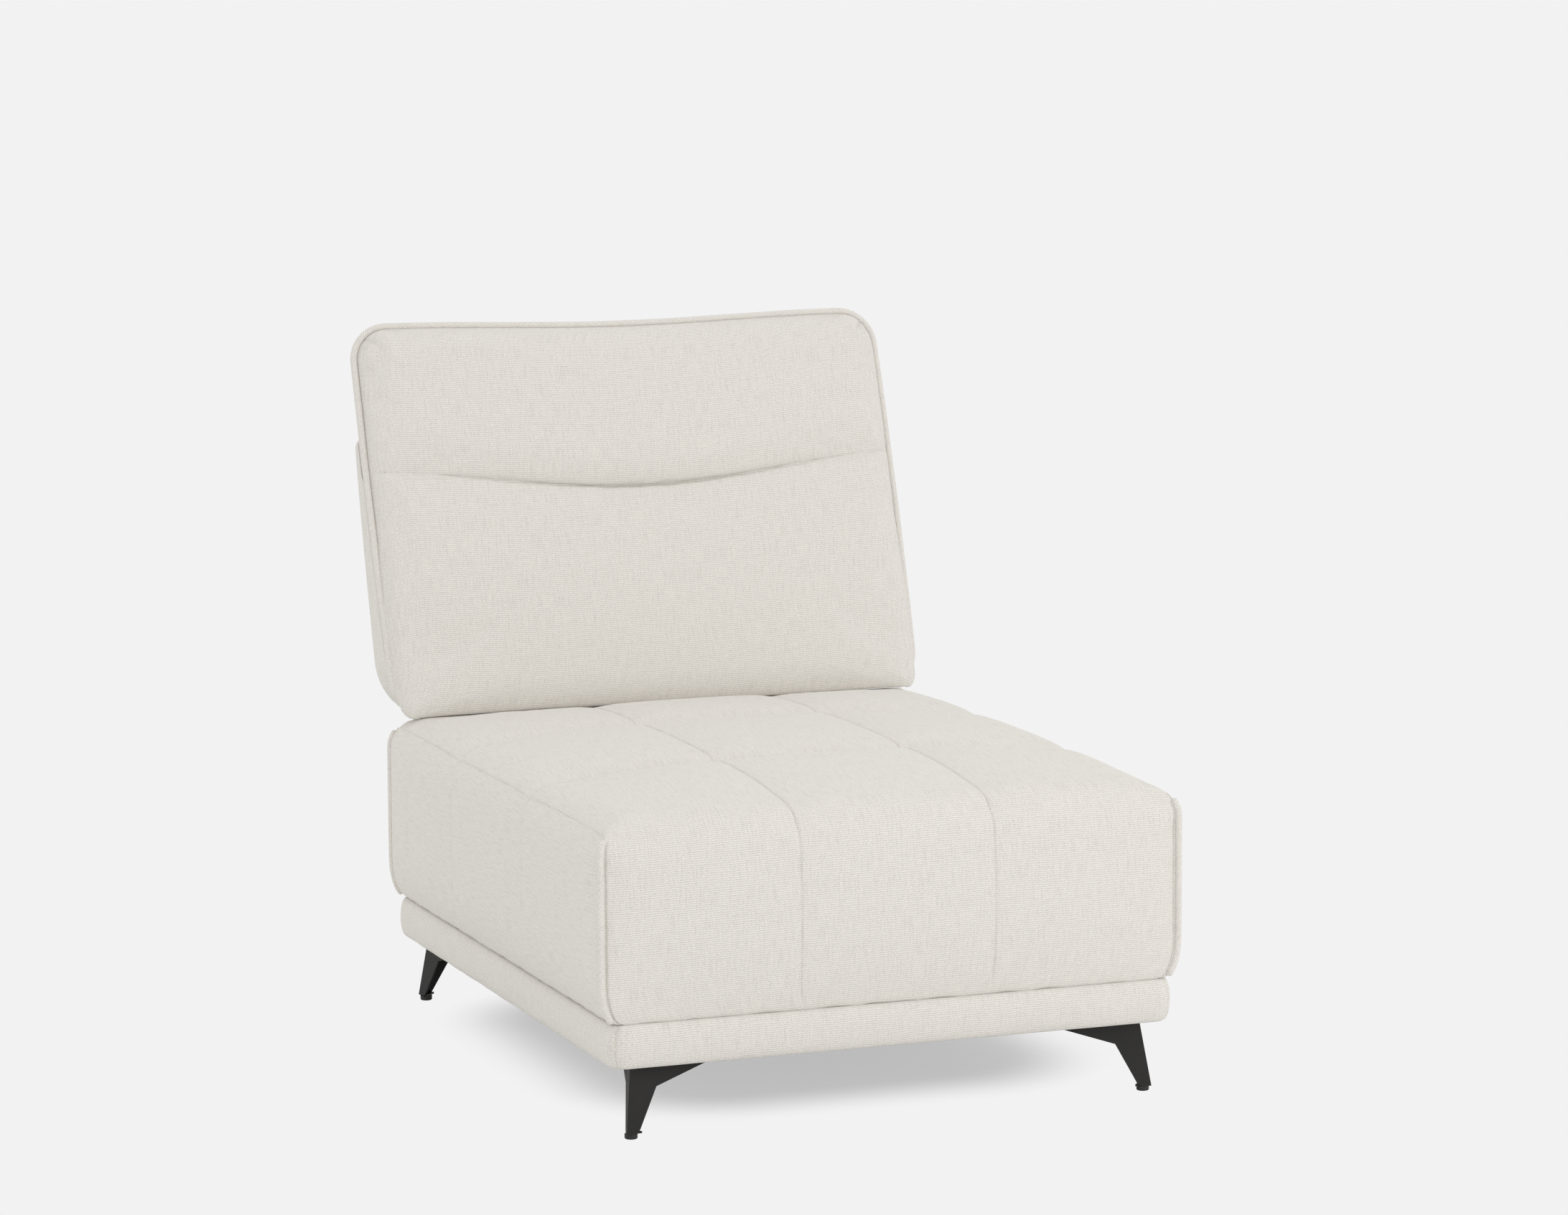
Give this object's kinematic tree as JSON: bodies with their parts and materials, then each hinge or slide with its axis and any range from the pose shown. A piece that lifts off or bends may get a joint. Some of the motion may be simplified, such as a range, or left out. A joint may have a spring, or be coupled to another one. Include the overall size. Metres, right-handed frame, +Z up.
{
  "type": "reclining chair",
  "caption": "Armless upholstered reclining chair: tufted seat block on splayed black legs, raked piped back that reclines, and a headrest that tilts forward above a smile seam.",
  "frame": {"origin": "on the floor, at the middle of the whole chair's footprint, the back at rest included", "axes": "+Z up, the chair faces -Y, +X to the right seen from the front"},
  "size_m": [0.8274, 1.1352, 0.9729],
  "materials": {
    "woven_fabric": "off-white ribbed slub weave",
    "welt_fabric": "the same weave, cut on the bias over piping cord",
    "timber": "sawn pine",
    "plywood": "birch plywood",
    "black_steel": "black powder coat",
    "spring_steel": "oiled spring wire",
    "zinc_steel": "bright zinc plate",
    "glide_plastic": "moulded black nylon",
    "lining": "black non-woven lining"
  },
  "bodies": {
    "seat": {"frame_board_front": "plywood", "frame_board_rear": "plywood", "frame_board_left": "plywood", "frame_board_right": "plywood", "cross_slat": "timber", "seat_cushion": "woven_fabric", "dust_cover": "lining", "corner_block_front_left": "timber", "corner_welt_front_left": "welt_fabric", "leg_front_left": "black_steel", "leg_bolt_front_left": "zinc_steel", "glide_front_left": "glide_plastic", "corner_block_front_right": "timber", "corner_welt_front_right": "welt_fabric", "leg_front_right": "black_steel", "leg_bolt_front_right": "zinc_steel", "glide_front_right": "glide_plastic", "corner_block_rear_left": "timber", "corner_welt_rear_left": "welt_fabric", "leg_rear_left": "black_steel", "leg_bolt_rear_left": "zinc_steel", "glide_rear_left": "glide_plastic", "corner_block_rear_right": "timber", "corner_welt_rear_right": "welt_fabric", "leg_rear_right": "black_steel", "leg_bolt_rear_right": "zinc_steel", "glide_rear_right": "glide_plastic", "seat_pad_front": "woven_fabric", "base_band_front": "woven_fabric", "seat_pad_rear": "woven_fabric", "base_band_rear": "woven_fabric", "seat_pad_left": "woven_fabric", "base_band_left": "woven_fabric", "seat_pad_right": "woven_fabric", "base_band_right": "woven_fabric", "seat_spring_1": "spring_steel", "seat_spring_2": "spring_steel", "seat_spring_3": "spring_steel", "seat_spring_4": "spring_steel", "hinge_plate_left": "black_steel", "hinge_pin_left": "zinc_steel", "hinge_plate_right": "black_steel", "hinge_pin_right": "zinc_steel"},
    "back": {"back_board": "plywood", "back_cushion": "woven_fabric", "rear_housing": "woven_fabric", "back_piping": "welt_fabric", "hinge_arm_left": "black_steel", "hinge_arm_right": "black_steel", "ratchet_body_left": "black_steel", "ratchet_body_right": "black_steel", "ratchet_pin_left": "zinc_steel", "ratchet_pin_right": "zinc_steel"},
    "headrest": {"headrest_board": "plywood", "headrest_cushion": "woven_fabric", "headrest_rear_pad": "woven_fabric", "headrest_piping": "welt_fabric", "ratchet_arm_left": "black_steel", "ratchet_arm_right": "black_steel"}
  },
  "joints": [
    {"name": "back_recline", "type": "hinge", "parent": "seat", "child": "back", "pos_m": [0, 0.41369, 0.378], "axis": [-1, 0, 0], "range_deg": [0, 25]},
    {"name": "headrest_tilt", "type": "hinge", "parent": "back", "child": "headrest", "pos_m": [0, 0.48118, 0.73544], "axis": [1, 0, 0], "range_deg": [0, 25]}
  ]
}
